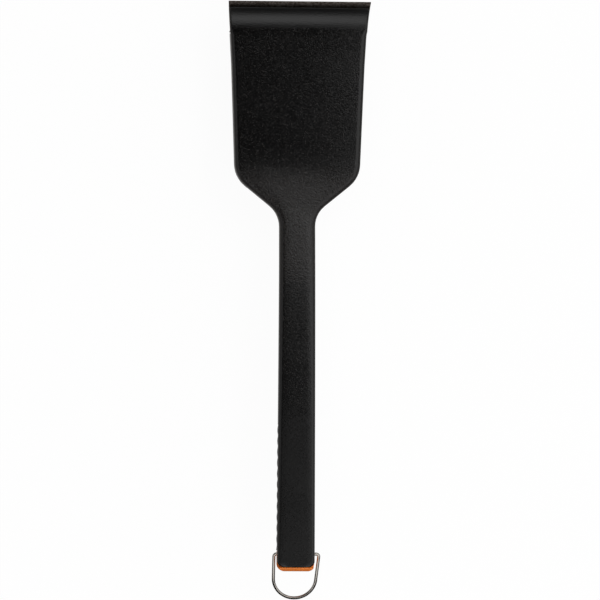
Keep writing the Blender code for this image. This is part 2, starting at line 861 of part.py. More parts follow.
def end_cap():
    front = cap_start + clearance
    corners = corner_stations(cap_end, cap_corner_radius)
    low = [front, (front + corners[0]) / 2, *corners]
    body = [cap_section(d, seam_height(d) - clearance, bottom_height(d) + cap_fall(d)) for d in low]
    cap = place(loft(body), "end_cap", orange_cap)
    rear = [shell_end + clearance, *[d for d in corners if d > shell_end + 2 * clearance]]
    lowest = seam_height(shell_end) - clearance - wall
    flange = [cap_section(d, top_height(d) - cap_top_step - cap_fall(d), lowest) for d in rear]
    join(cap, loft(flange), "flange")
    inset = wall + clearance
    plugged = (front, shell_end, shell_end + cap_proud / 2)
    join(cap, loft([upper_section(d, seam_height(d) - wall, inset) for d in plugged]), "plug")
    d = cap_screw_distance()
    y, seat = along(d), bottom_height(d) + recess_depth
    cut(cap, rod((0, y, 0), (0, y, seat), screw_head_radius + clearance), "screw_recess")
    cut(cap, rod((0, y, 0), (0, y, above_everything), screw_hole_radius), "screw_hole")
    socket = rod((0, y, cap_boss_bottom() - clearance), (0, y, above_everything), boss_radius + clearance)
    cut(cap, socket, "boss_socket")
    for i in range(groove_count):
        cap_groove(cap, first_groove + i * groove_pitch, f"groove_{i}")
    for side in (-1, 1):
        z, y = pivot_height(), along(pivot_distance)
        inner = loop_half_width_at_pins - pin_length - clearance
        hole = rod((side * inner, y, z), (side * head_half_width, y, z), wire_radius + pin_clearance)
        cut(cap, hole, f"pin_hole_{side}")
    smooth(cap)


def loop_half():
    """Right half of the loop from its pin to the middle of its end, in its own plane."""
    points = [(loop_half_width_at_pins - pin_length, 0)]
    for turn in spread(0, math.pi / 2, pin_bend_steps):
        points.append(
            (
                loop_half_width_at_pins - pin_bend_radius * (1 - math.sin(turn)),
                pin_bend_radius * (1 - math.cos(turn)),
            )
        )
    for turn in spread(0, math.pi / 2, loop_end_steps):
        points.append((loop_half_width * math.cos(turn), loop_leg_length + loop_half_width * math.sin(turn)))
    return points[:-1]


def hang_loop():
    right = loop_half()
    points = right + [(0, loop_reach)] + [(-across, out) for across, out in reversed(right)]
    curve = bpy.data.curves.new("hang_loop", "CURVE")
    curve.dimensions = "3D"
    curve.bevel_depth = wire_radius
    curve.bevel_resolution = 2
    curve.use_fill_caps = True
    spline = curve.splines.new("POLY")
    spline.points.add(len(points) - 1)
    for point, (across, out) in zip(spline.points, points):
        point.co = (across, -out, 0.0, 1.0)
    curve.materials.append(polished_wire)
    loop = bpy.data.objects.new("hang_loop", curve)
    brush_parts.objects.link(loop)
    loop.location = (0, along(pivot_distance), pivot_height())
    loop.rotation_euler = (loop_droop, 0, 0)


def pad_carrier():
    """The empty that the removable pad slides with."""
    empty = bpy.data.objects.new("pad_slide", None)
    brush_parts.objects.link(empty)
    return empty


back_shell()
scraper_blade()
pad_tray()
handle_underside()
grip_sleeve()
end_cap()
hang_loop()
screws()
pad = pad_carrier()
brush_plate(pad)
bristle_strips(pad)
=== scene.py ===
import math
import random

import bmesh
import bpy
from mathutils import Matrix, Vector


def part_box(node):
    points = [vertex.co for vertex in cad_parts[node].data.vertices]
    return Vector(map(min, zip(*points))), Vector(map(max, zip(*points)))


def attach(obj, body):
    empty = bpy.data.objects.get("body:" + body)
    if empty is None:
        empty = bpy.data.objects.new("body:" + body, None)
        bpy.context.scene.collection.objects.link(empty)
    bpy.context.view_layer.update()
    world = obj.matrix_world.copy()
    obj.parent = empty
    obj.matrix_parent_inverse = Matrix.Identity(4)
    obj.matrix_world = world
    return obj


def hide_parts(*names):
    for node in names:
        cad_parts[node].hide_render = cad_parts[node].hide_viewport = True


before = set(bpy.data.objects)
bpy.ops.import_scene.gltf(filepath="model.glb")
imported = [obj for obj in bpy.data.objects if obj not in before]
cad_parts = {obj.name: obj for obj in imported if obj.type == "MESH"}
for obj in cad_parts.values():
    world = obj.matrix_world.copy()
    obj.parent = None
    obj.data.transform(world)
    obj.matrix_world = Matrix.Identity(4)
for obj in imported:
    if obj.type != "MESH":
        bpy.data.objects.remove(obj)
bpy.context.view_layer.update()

# Grill brush seen from its back: moulded head and handle, steel scraper under the flared lip, ribbed grip,
# orange end cap with a wire loop, and a bristle pad on the hidden side. Metres, +Y towards the scraper.
print("frame loaded:", len(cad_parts), "nodes")

view = {
    "aim": (0.002565, 0.000655, 0.045),  # what stands in the middle of the picture
    "toTheLeft": 0.067524,  # radians that the camera stands off to the left
    "roll": 0.007703,
    "distance": 6.0,
    "pixelsPerMetre": 1272.95,  # at the aim
    "pictureWidth": 600,
    "sensor": 36.0,
    "nearest": 0.1,
    "farthest": 100,
}


def placeCamera():
    away = Vector((-math.sin(view["toTheLeft"]), 0, math.cos(view["toTheLeft"])))
    right = Vector((0, 1, 0)).cross(away).normalized()
    up = away.cross(right)
    data = bpy.data.cameras.new("pictureCamera")
    data.sensor_width = view["sensor"]
    data.lens = view["pixelsPerMetre"] * view["distance"] / view["pictureWidth"] * view["sensor"]
    data.clip_start = view["nearest"]
    data.clip_end = view["farthest"]
    camera = bpy.data.objects.new("pictureCamera", data)
    bpy.context.scene.collection.objects.link(camera)
    turned = Matrix((right, up, away)).transposed().to_4x4() @ Matrix.Rotation(view["roll"], 4, "Z")
    camera.matrix_world = Matrix.Translation(Vector(view["aim"]) + away * view["distance"]) @ turned
    bpy.context.scene.camera = camera


class Link:
    # a shader socket that can stand in a sum
    def __init__(self, tree, socket=None):
        self.tree = tree
        self.socket = socket

    def node(self, kind, settings, values, out=0):
        made = self.tree.nodes.new(kind)
        for key, setting in settings.items():
            if key == "stops":
                stops = made.color_ramp.elements
                stops[0].position, stops[0].color = setting[0]
                stops[1].position, stops[1].color = setting[-1]
                for place, color in setting[1:-1]:
                    stops.new(place).color = color
            else:
                setattr(made, key, setting)
        for key, value in values.items():
            if isinstance(value, Link):
                self.tree.links.new(value.socket, made.inputs[key])
            else:
                made.inputs[key].default_value = value
        return Link(self.tree, made.outputs[out])

    def maths(self, operation, first, second):
        return self.node("ShaderNodeMath", {"operation": operation}, {0: first, 1: second})

    def __add__(self, other):
        return self.maths("ADD", self, other)

    def __radd__(self, other):
        return self.maths("ADD", other, self)

    def __sub__(self, other):
        return self.maths("SUBTRACT", self, other)

    def __rsub__(self, other):
        return self.maths("SUBTRACT", other, self)

    def __mul__(self, other):
        return self.maths("MULTIPLY", self, other)

    def __rmul__(self, other):
        return self.maths("MULTIPLY", other, self)

    def __truediv__(self, other):
        return self.maths("DIVIDE", self, other)

    def __pow__(self, other):
        return self.maths("POWER", self, other)


def newFinish(name, fixed):
    finish = bpy.data.materials.new(name)
    finish.use_nodes = True
    shader = finish.node_tree.nodes["Principled BSDF"]
    for socket, value in fixed.items():
        shader.inputs[socket].default_value = value
    point = Link(finish.node_tree).node("ShaderNodeTexCoord", {}, {}, "Object")
    return finish, shader, point


def connect(shader, links):
    for socket, link in links.items():
        link.tree.links.new(link.socket, shader.inputs[socket])


def noise(point, size, detail):
    return point.node("ShaderNodeTexNoise", {}, {"Vector": point, "Scale": 1 / size, "Detail": detail})


def uneven(noisy, share):
    # swings about 0, by a share of what the noise does
    return (noisy - 0.5) * share


def specks(point, spacing):
    # distance to the nearest speck, as a share of their spacing, and a value of each speck's own
    cell = {"Vector": point, "Scale": 1 / spacing}
    near = point.node("ShaderNodeTexVoronoi", {}, cell, "Distance")
    return near, axis(point.node("ShaderNodeTexVoronoi", {}, cell, "Color"), "X")


def stretched(point, scale):
    return point.node("ShaderNodeMapping", {}, {"Vector": point, "Scale": scale})


def axis(point, letter):
    return point.node("ShaderNodeSeparateXYZ", {}, {0: point}, letter)


def step(value, low, high):
    # 0 below low, 1 above high, smooth between
    smooth = {"interpolation_type": "SMOOTHSTEP"}
    return value.node("ShaderNodeMapRange", smooth, {0: value, 1: low, 2: high})


def mix(share, first, second):
    colors = [c if isinstance(c, Link) else (*c, 1.0) for c in (first, second)]
    return share.node("ShaderNodeMix", {"data_type": "RGBA"}, {0: share, 6: colors[0], 7: colors[1]}, 2)


def bump(height, distance):
    return height.node("ShaderNodeBump", {}, {"Height": height, "Distance": distance, "Strength": 1.0})


shellLook = {
    "specular": 0.5,
    "dark": (0.0030, 0.0028, 0.0028),
    # the specks' colour: light flecks of the moulded grain, partly painted glints where light catches its
    # sandy texture
    "speck": (0.031, 0.024, 0.019),
    "depth": 0.00018,
    "grain": 0.00120,
    "finer": 0.35,  # the finer grain's size, as a share of the grain's
    "finerShare": 0.25,
    "grainDetail": 1.0,
    "grainRoughness": 0.25,
    "speckSpacing": 0.00085,
    "speckCore": 0.18,  # a speck fades out from here, in shares of the spacing
    "speckEdge": 0.38,
    "speckPower": 2.0,  # leaves few of the specks bright
    "speckShare": 0.9,
    "speckHeight": 0.4,
    "cloud": 0.030,
    "cloudDetail": 2.0,
    "cloudRoughness": 0.08,
    "lipStart": 0.2125,  # in front of it the lip is less grained
    "lipEnd": 0.2160,
    "lipPolish": 0.7,
    "lipRoughness": 0.36,
    "smoother": -0.14,
    "heldStart": -0.030,  # towards the end of the handle the grain is flatter and duller
    "heldEnd": -0.120,
    "heldDuller": 0.09,
    "heldFewer": 0.6,
    "heldFlatter": 0.7,
    "neckFront": 0.112,  # over the shoulders and the neck the grain stands out more, and its colour is lighter and warmer: painted light, where light grazes the grain
    "neckFull": 0.090,
    "neckBack": 0.035,
    "neckEnd": 0.000,
    "neckGrain": 1.3,
    # painted light: the neck's colours, lighter and warmer where light grazes the grain
    "neckDark": (0.0052, 0.0036, 0.0032),
    "neckSpeck": (0.060, 0.046, 0.036),
    "flatStart": 0.100,  # the head's flat middle is smoother still, and its colour a little darker: painted shade
    "flatEnd": 0.125,
    "flatSmoother": -0.030,
    "flatGrain": -0.11,
    # painted shade on the head's flat middle
    "flatDark": (0.0018, 0.0016, 0.0016),
}


def shellFinish():
    look = shellLook
    finish, shader, point = newFinish("shellPlastic", {"Specular IOR Level": look["specular"]})
    along = axis(point, "Y")
    rough = 1 - look["lipPolish"] * step(along, look["lipStart"], look["lipEnd"])
    held = 1 - step(along, look["heldEnd"], look["heldStart"])
    flat = step(along, look["flatStart"], look["flatEnd"]) * rough
    behindHead = 1 - step(along, look["neckFull"], look["neckFront"])
    neck = behindHead * step(along, look["neckEnd"], look["neckBack"])
    coarse = noise(point, look["grain"], look["grainDetail"])
    fine = noise(point, look["grain"] * look["finer"], look["grainDetail"])
    grain = (1 - look["finerShare"]) * coarse + look["finerShare"] * fine
    near, shade = specks(point, look["speckSpacing"])
    fleck = (1 - step(near, look["speckCore"], look["speckEdge"])) * shade ** look["speckPower"]
    fleck = fleck * rough * (1 - look["heldFewer"] * held)
    relief = (grain + fleck * look["speckHeight"]) * (1 - look["heldFlatter"] * held)
    stronger = 1 + look["neckGrain"] * neck + look["flatGrain"] * flat
    # base colour with painted light over the neck and painted shade on the head's flat middle
    dark = mix(flat, mix(neck, look["dark"], look["neckDark"]), look["flatDark"])
    light = mix(neck, look["speck"], look["neckSpeck"])
    cloud = noise(point, look["cloud"], look["cloudDetail"])
    moulded = look["lipRoughness"] + rough * look["smoother"] + flat * look["flatSmoother"]
    connect(shader, {
        "Base Color": mix(fleck * look["speckShare"], dark, light),
        "Roughness": moulded + held * look["heldDuller"] + uneven(grain, look["grainRoughness"]) * rough
        + uneven(cloud, look["cloudRoughness"]),
        "Normal": bump(relief * stronger, look["depth"]),
    })
    return finish


undersideLook = {
    "specular": 0.45,
    "dark": (0.0075, 0.0072, 0.0070),
    "worn": (0.016, 0.015, 0.014),
    "wornFrom": 0.45,
    "wornTo": 0.75,
    "grain": 0.0011,
    "cloud": 0.022,
    "detail": 3.0,
    "roughness": 0.55,
    "grainRoughness": 0.2,
    "cloudRoughness": 0.12,
    "depth": 0.00004,
}


def undersideFinish(name):
    look = undersideLook
    finish, shader, point = newFinish(name, {"Specular IOR Level": look["specular"]})
    grain = noise(point, look["grain"], look["detail"])
    cloud = noise(point, look["cloud"], look["detail"])
    rougher = uneven(grain, look["grainRoughness"]) + uneven(cloud, look["cloudRoughness"])
    connect(shader, {
        "Base Color": mix(step(cloud, look["wornFrom"], look["wornTo"]), look["dark"], look["worn"]),
        "Roughness": look["roughness"] + rougher,
        "Normal": bump(grain, look["depth"]),
    })
    return finish


gripLook = {
    "specular": 0.4,
    "dark": (0.0085, 0.0083, 0.0082),
    "dust": (0.020, 0.019, 0.018),
    "dustSize": 0.006,
    "dustDetail": 4.0,
    "dustFrom": 0.5,
    "dustTo": 0.8,
    "dustShare": 0.6,
    "grain": 0.0006,
    "grainDetail": 2.0,
    "roughness": 0.72,
    "grainRoughness": 0.2,
    "depth": 0.00004,
}


def gripFinish():
    look = gripLook
    finish, shader, point = newFinish("gripRubber", {"Specular IOR Level": look["specular"]})
    grain = noise(point, look["grain"], look["grainDetail"])
    dust = step(noise(point, look["dustSize"], look["dustDetail"]), look["dustFrom"], look["dustTo"])
    connect(shader, {
        "Base Color": mix(dust * look["dustShare"], look["dark"], look["dust"]),
        "Roughness": look["roughness"] + uneven(grain, look["grainRoughness"]),
        "Normal": bump(grain, look["depth"]),
    })
    return finish


capLook = {
    "specular": 0.5,
    "bright": (1.00, 0.255, 0.022),
    "deep": (0.90, 0.185, 0.015),
    "cloud": 0.008,
    "cloudDetail": 3.0,
    "cloudShare": 0.2,
    "fine": 0.0007,
    "fineDetail": 2.0,
    "fineHeight": 0.03,
    "roughness": 0.34,
    "cloudRoughness": 0.1,
    "rearStart": -0.2092,
    "rearFade": 0.0006,
    "lineTop": 0.06165,  # height of the first of the fine lines over the cap's rounded rear
    "lineAbove": -0.5,  # in steps from the first line: nothing before it
    "lineFrom": -0.3,
    "linePitch": 0.00070,
    "lineStop": 0.0600,
    "lineFade": 0.0001,
    "lineCore": 0.06,
    "lineEdge": 0.20,
    # how much darker the colour is along the fine lines: painted shade in their grooves
    "lineShare": 0.3,
    "lineRoughness": 0.2,
    "lineDepth": 0.00002,
}


def capFinish():
    look = capLook
    finish, shader, point = newFinish("capPlastic", {"Specular IOR Level": look["specular"]})
    cloud = noise(point, look["cloud"], look["cloudDetail"])
    fine = noise(point, look["fine"], look["fineDetail"])
    height = axis(point, "Z")
    wave = (look["lineTop"] - height) / look["linePitch"]
    ripple = wave.maths("PINGPONG", wave, 0.5)
    rear = 1 - step(axis(point, "Y"), look["rearStart"] - look["rearFade"], look["rearStart"])
    above = step(height, look["lineStop"] - look["lineFade"], look["lineStop"])
    among = above * step(wave, look["lineAbove"], look["lineFrom"])
    line = (1 - step(ripple, look["lineCore"], look["lineEdge"])) * rear * among
    # darker orange in random clouds, and painted shade along the fine groove lines
    deeper = cloud * look["cloudShare"] + line * look["lineShare"]
    connect(shader, {
        "Base Color": mix(deeper, look["bright"], look["deep"]),
        "Roughness": look["roughness"] + uneven(cloud, look["cloudRoughness"]) + line * look["lineRoughness"],
        "Normal": bump(fine * look["fineHeight"] - line, look["lineDepth"]),
    })
    return finish


bladeLook = {
    "grey": (0.19, 0.165, 0.15),
    "brown": (0.095, 0.072, 0.058),
    "pale": (0.36, 0.32, 0.29),
    "mottle": 0.0016,
    "mottleDetail": 4.0,
    "patch": 0.018,
    "patchDetail": 2.0,
    "patchShare": 0.5,
    "greyFrom": 0.38,
    "greyTo": 0.64,
    "fleck": 0.55,  # the pale flecks' size, as a share of the mottling's
    "fleckDetail": 2.0,
    "fleckFrom": 0.56,
    "fleckTo": 0.70,
    "fleckShare": 0.7,
    "fleckHeight": 0.4,
    "metallic": 0.92,
    "fleckDull": 0.15,
    "roughness": 0.48,
    "mottleRoughness": 0.35,
    "depth": 0.00005,
}


def bladeFinish():
    look = bladeLook
    finish, shader, point = newFinish("scraperSteel", {})
    mottle = noise(point, look["mottle"], look["mottleDetail"])
    patch = noise(point, look["patch"], look["patchDetail"])
    spots = noise(point, look["mottle"] * look["fleck"], look["fleckDetail"])
    fleck = step(spots, look["fleckFrom"], look["fleckTo"])
    greyer = step(mottle + uneven(patch, look["patchShare"]), look["greyFrom"], look["greyTo"])
    connect(shader, {
        "Base Color": mix(fleck * look["fleckShare"], mix(greyer, look["brown"], look["grey"]), look["pale"]),
        "Roughness": look["roughness"] + uneven(mottle, look["mottleRoughness"]),
        "Metallic": look["metallic"] - fleck * look["fleckDull"],
        "Normal": bump(mottle + fleck * look["fleckHeight"], look["depth"]),
    })
    return finish


screwLook = {
    "steel": (0.42, 0.41, 0.40),
    "dark": (0.24, 0.235, 0.23),
    "brushing": (1, 1, 6),
    "brushed": 0.0006,
    "brushedDetail": 3.0,
    "spot": 0.0018,
    "spotDetail": 2.0,
    "spotFrom": 0.4,
    "spotTo": 0.7,
    "roughness": 0.30,
    "brushedRoughness": 0.25,
    "depth": 0.00002,
}


def screwFinish():
    look = screwLook
    finish, shader, point = newFinish("screwSteel", {"Metallic": 1.0})
    brushed = noise(stretched(point, look["brushing"]), look["brushed"], look["brushedDetail"])
    spot = noise(point, look["spot"], look["spotDetail"])
    connect(shader, {
        "Base Color": mix(step(spot, look["spotFrom"], look["spotTo"]), look["steel"], look["dark"]),
        "Roughness": look["roughness"] + uneven(brushed, look["brushedRoughness"]),
        "Normal": bump(brushed, look["depth"]),
    })
    return finish


wireLook = {
    "chrome": (0.55, 0.52, 0.475),
    "hazed": (0.44, 0.41, 0.37),
    "hazedFrom": 0.45,
    "hazedTo": 0.8,
    "sooty": (0.34, 0.31, 0.285),  # painted shade: the far end of the loop is darker, standing in for the dark surroundings it reflects
    "sootStart": -0.2190,
    "sootEnd": -0.2310,
    "sootShare": 0.8,
    "drawn": 0.0035,
    "drawnDetail": 3.0,
    "drawnFrom": 0.4,
    "drawnTo": 0.8,
    "drawnRoughness": 0.08,
    "haze": 0.0007,
    "hazeDetail": 2.0,
    "hazeRoughness": 0.03,
    "roughness": 0.12,
    "depth": 0.000006,
}


def wireFinish():
    look = wireLook
    finish, shader, point = newFinish("polishedWire", {"Metallic": 1.0})
    drawn = noise(point, look["drawn"], look["drawnDetail"])
    haze = noise(point, look["haze"], look["hazeDetail"])
    # painted shade towards the loop's far end
    arcShade = 1 - step(axis(point, "Y"), look["sootEnd"], look["sootStart"])
    clean = mix(step(drawn, look["hazedFrom"], look["hazedTo"]), look["chrome"], look["hazed"])
    duller = step(drawn, look["drawnFrom"], look["drawnTo"]) * look["drawnRoughness"]
    connect(shader, {
        "Base Color": mix(arcShade * look["sootShare"], clean, look["sooty"]),
        "Roughness": look["roughness"] + duller + haze * look["hazeRoughness"],
        "Normal": bump(haze, look["depth"]),
    })
    return finish


nylonLook = {
    "specular": 0.5,
    "dark": (0.010, 0.010, 0.011),
    "tip": (0.035, 0.034, 0.034),
    "tipLow": 0.0005,
    "tipHigh": 0.0050,
    "tipShare": 0.7,
    "tipRoughness": 0.12,
    "hanging": (1, 1, 0.05),  # a strand's tone hardly changes along it
    "tone": 0.0012,
    "toneDetail": 1.0,
    "toneShare": 0.3,
    "toneRoughness": 0.3,
    "crimp": 0.0011,
    "crimpDetail": 2.0,
    "roughness": 0.38,
    "depth": 0.00004,
}


def nylonFinish():
    look = nylonLook
    finish, shader, point = newFinish("bristleNylon", {"Specular IOR Level": look["specular"]})
    tone = noise(stretched(point, look["hanging"]), look["tone"], look["toneDetail"])
    tip = 1 - step(axis(point, "Z"), look["tipLow"], look["tipHigh"])
    crimp = noise(point, look["crimp"], look["crimpDetail"])
    connect(shader, {
        "Base Color": mix(tip * look["tipShare"] + tone * look["toneShare"], look["dark"], look["tip"]),
        "Roughness": look["roughness"] + uneven(tone, look["toneRoughness"]) + tip * look["tipRoughness"],
        "Normal": bump(crimp, look["depth"]),
    })
    return finish


def clearSelection():
    if bpy.context.object and bpy.context.object.mode != "OBJECT":
        bpy.ops.object.mode_set(mode="OBJECT")
    bpy.ops.object.select_all(action="DESELECT")


def takeUp(piece):
    clearSelection()
    piece.select_set(True)
    bpy.context.view_layer.objects.active = piece


def added(name):
    # the primitive just added, or the piece just joined, gets its name
    piece = bpy.context.object
    piece.name = name
    piece.data.name = name
    return piece


def pick(piece, kind, wanted):
    # in edit mode: selects the verts, edges or faces that a test accepts
    bpy.ops.mesh.select_mode(type=kind)
    bpy.ops.mesh.select_all(action="DESELECT")
    shape = bmesh.from_edit_mesh(piece.data)
    for item in {"VERT": shape.verts, "EDGE": shape.edges, "FACE": shape.faces}[kind]:
        if wanted(item):
            item.select = True
    shape.select_flush_mode()
    bmesh.update_edit_mesh(piece.data)


def applyModifier(piece, kind, name, **settings):
    modifier = piece.modifiers.new(name, kind)
    for key, value in settings.items():
        setattr(modifier, key, value)
    bpy.context.view_layer.objects.active = piece
    bpy.ops.object.modifier_apply(modifier=name)


def copied(model, name, matrix):
    piece = bpy.data.objects.new(name, model.data.copy())
    bpy.context.scene.collection.objects.link(piece)
    piece.data.transform(matrix)
    return piece


def joined(pieces, name):
    clearSelection()
    for piece in pieces:
        piece.select_set(True)
    bpy.context.view_layer.objects.active = pieces[0]
    bpy.ops.object.join()
    return added(name)


def settle(piece):
    # the piece's place goes into its mesh
    takeUp(piece)
    bpy.ops.object.transform_apply(location=True, rotation=True, scale=True)


def finishPiece(piece, finish, slot, body, *nodes):
    piece.data.materials.clear()
    piece.data.materials.append(finish)
    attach(piece, body)
    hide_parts(*nodes)


mending = {
    "same": 0.000004,  # points of the frame's solids nearer than this are one
    "flat": math.radians(8),  # two triangles become a quad up to this bend between them
    "square": math.radians(60),  # and up to this far from a rectangle
    "leftover": 0.00001,  # points that a bevel or a bend leaves on each other
}
easing = {"segments": 2, "smooth": math.radians(40)}


def copyNode(node, name):
    # the frame's own solid as one clean mesh, to be worked on
    piece = bpy.data.objects.new(name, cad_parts[node].data.copy())
    bpy.context.scene.collection.objects.link(piece)
    takeUp(piece)
    bpy.ops.mesh.customdata_custom_splitnormals_clear()
    bpy.ops.object.mode_set(mode="EDIT")
    bpy.ops.mesh.select_all(action="SELECT")
    bpy.ops.mesh.remove_doubles(threshold=mending["same"])
    bpy.ops.mesh.tris_convert_to_quads(face_threshold=mending["flat"], shape_threshold=mending["square"])
    bpy.ops.object.mode_set(mode="OBJECT")
    return piece


def mergeLeftovers():
    # in edit mode, which it ends: points that a bevel has left on each other become one
    bpy.ops.mesh.select_all(action="SELECT")
    bpy.ops.mesh.remove_doubles(threshold=mending["leftover"])
    bpy.ops.mesh.dissolve_degenerate(threshold=mending["leftover"])
    bpy.ops.object.mode_set(mode="OBJECT")


def easeEdges(piece, sizes):
    applyModifier(piece, "BEVEL", "eased", width=sizes["edge"], segments=easing["segments"],
                  limit_method="ANGLE", angle_limit=sizes["sharper"], use_clamp_overlap=True)
    takeUp(piece)
    bpy.ops.object.shade_smooth_by_angle(angle=easing["smooth"])


shell = {"edge": 0.00025, "sharper": math.radians(48)}


def makeShell():
    piece = copyNode("back_shell", "backShell")
    easeEdges(piece, shell)
    finishPiece(piece, shellFinish(), "shell_plastic", "brush", "back_shell")


blade = {"edge": 0.00015, "sharper": math.radians(48)}


def makeBlade():
    piece = copyNode("scraper_blade", "scraperBlade")
    easeEdges(piece, blade)
    finishPiece(piece, bladeFinish(), "scraper_steel", "brush", "scraper_blade")


underside = {"edge": 0.00025, "sharper": math.radians(48)}


def makeUnderside():
    finish = undersideFinish("undersidePlastic")
    for node, name in (("pad_tray", "padTray"), ("handle_underside", "handleUnderside")):
        piece = copyNode(node, name)
        easeEdges(piece, underside)
        finishPiece(piece, finish, "underside_plastic", "brush", node)


sleeve = {"crease": math.radians(55), "levels": 2}


def makeSleeve():
    piece = copyNode("grip_sleeve", "gripSleeve")
    bpy.ops.object.mode_set(mode="EDIT")
    bpy.ops.mesh.select_mode(type="EDGE")
    bpy.ops.mesh.select_all(action="DESELECT")
    bpy.ops.mesh.edges_select_sharp(sharpness=sleeve["crease"])
    bpy.ops.transform.edge_crease(value=1.0)
    bpy.ops.object.mode_set(mode="OBJECT")
    applyModifier(piece, "SUBSURF", "rounded", levels=sleeve["levels"], render_levels=sleeve["levels"])
    takeUp(piece)
    bpy.ops.object.shade_smooth_by_angle(angle=easing["smooth"])
    finishPiece(piece, gripFinish(), "grip_rubber", "brush", "grip_sleeve")


cap = {
    "edge": 0.00020,
    "sharper": math.radians(50),
    "rim": 0.0014,  # rounding between the rear's top and its sides
    "rimSegments": 5,
    "rimStart": -0.2088,  # its edges lie behind this, above rimLow and outside rimOut
    "rimLow": 0.0604,
    "rimOut": 0.0110,
    "rimTurn": math.radians(25),
    "rimFacing": 0.1,  # one of its faces points up by more than this, the other by less
}


def onCapRim(edge):
    ends = all(v.co.y < cap["rimStart"] and v.co.z > cap["rimLow"] for v in edge.verts)
    if not ends or len(edge.link_faces) != 2 or edge.calc_face_angle() < cap["rimTurn"]:
        return False
    low, high = sorted(face.normal.z for face in edge.link_faces)
    return low < cap["rimFacing"] < high and abs(edge.verts[0].co.x) > cap["rimOut"]


def makeCap():
    piece = copyNode("end_cap", "endCap")
    bpy.ops.object.mode_set(mode="EDIT")
    pick(piece, "EDGE", onCapRim)
    bpy.ops.mesh.bevel(offset=cap["rim"], segments=cap["rimSegments"], affect="EDGES", clamp_overlap=True)
    mergeLeftovers()
    easeEdges(piece, cap)
    bpy.ops.object.mode_set(mode="EDIT")
    mergeLeftovers()
    finishPiece(piece, capFinish(), "cap_plastic", "brush", "end_cap")


plate = {"edge": 0.00030, "sharper": math.radians(48)}


def makePlate():
    piece = copyNode("brush_plate", "brushPlate")
    easeEdges(piece, plate)
    finishPiece(piece, undersideFinish("padPlastic"), "pad_plastic", "pad", "brush_plate")


loop = {
    "wire": 0.00125,
    "sides": 20,
    "halfAtPins": 0.0176,
    "pin": 0.0080,
    "pinBend": 0.0021,
    "pinBendSteps": 9,
    "lean": 0.0486,  # radians that both legs come together
    "skew": 0.0419,  # the bent wire leans a little to the left as well
    "rightLeg": 0.019792,
    "leftLeg": 0.018492,
    "endBend": 0.016704,
    "endBendSteps": 48,
    "pivot": (0, -0.198699, 0.050540),
    "droop": math.radians(20),
    "side": 0.0009,  # the loose loop has slid to the right
}


def makeLoop():
    # one ring of the wire, drawn from the right pin round to the left pin, flat in X and Y
    across = loop["halfAtPins"] - loop["pinBend"]
    bpy.ops.mesh.primitive_circle_add(
        vertices=loop["sides"], radius=loop["wire"],
        location=(loop["halfAtPins"] - loop["pin"], 0, 0), rotation=(0, math.pi / 2, 0))
    piece = added("wireLoop")
    settle(piece)
    bpy.ops.object.mode_set(mode="EDIT")
    bpy.ops.mesh.select_all(action="SELECT")
    place = Vector((loop["halfAtPins"] - loop["pin"], 0, 0))
    heading = 0.0

    def straight(length):
        move = Vector((math.cos(heading), math.sin(heading), 0)) * length
        bpy.ops.mesh.extrude_region_move(TRANSFORM_OT_translate={"value": move})
        return place + move

    def bend(radius, turn, steps):
        centre = place + Vector((math.sin(heading), -math.cos(heading), 0)) * radius
        bpy.ops.mesh.spin(steps=steps, angle=turn, center=centre, axis=(0, 0, 1))
        return centre + Matrix.Rotation(-turn, 3, "Z") @ (place - centre), heading - turn

    place = straight(across - place.x)
    place, heading = bend(loop["pinBend"], math.pi / 2 + loop["lean"] + loop["skew"], loop["pinBendSteps"])
    place = straight(loop["rightLeg"])
    place, heading = bend(loop["endBend"], math.pi - 2 * loop["lean"], loop["endBendSteps"])
    place = straight(loop["leftLeg"])
    place, heading = bend(loop["pinBend"], math.pi / 2 + loop["lean"] - loop["skew"], loop["pinBendSteps"])
    place = straight(across - loop["halfAtPins"] + loop["pin"])
    bpy.ops.mesh.select_all(action="SELECT")
    bpy.ops.mesh.remove_doubles(threshold=mending["leftover"])
    bpy.ops.mesh.fill_holes(sides=0)
    bpy.ops.mesh.normals_make_consistent(inside=False)
    bpy.ops.object.mode_set(mode="OBJECT")
    piece.rotation_euler = (loop["droop"], 0, 0)
    piece.location = Vector(loop["pivot"]) + Vector((loop["side"], 0, 0))
    settle(piece)
    bpy.ops.object.shade_smooth_by_angle(angle=easing["smooth"])
    finishPiece(piece, wireFinish(), "loop_wire", "loop", "hang_loop")


screw = {
    "head": 0.0031,
    "height": 0.0011,
    "shank": 0.0015,
    "shankLength": 0.0060,
    "point": 0.5,  # the shank's width at its end, as a share
    "sides": 40,
    "rim": 0.00045,  # rounding of the pan head
    "rimSegments": 4,
    "nearTop": 0.9,
    "facingDown": -0.9,
    "recess": 0.0024,
    "slot": 0.00062,
    "depth": 0.0007,
    "smooth": math.radians(35),
}


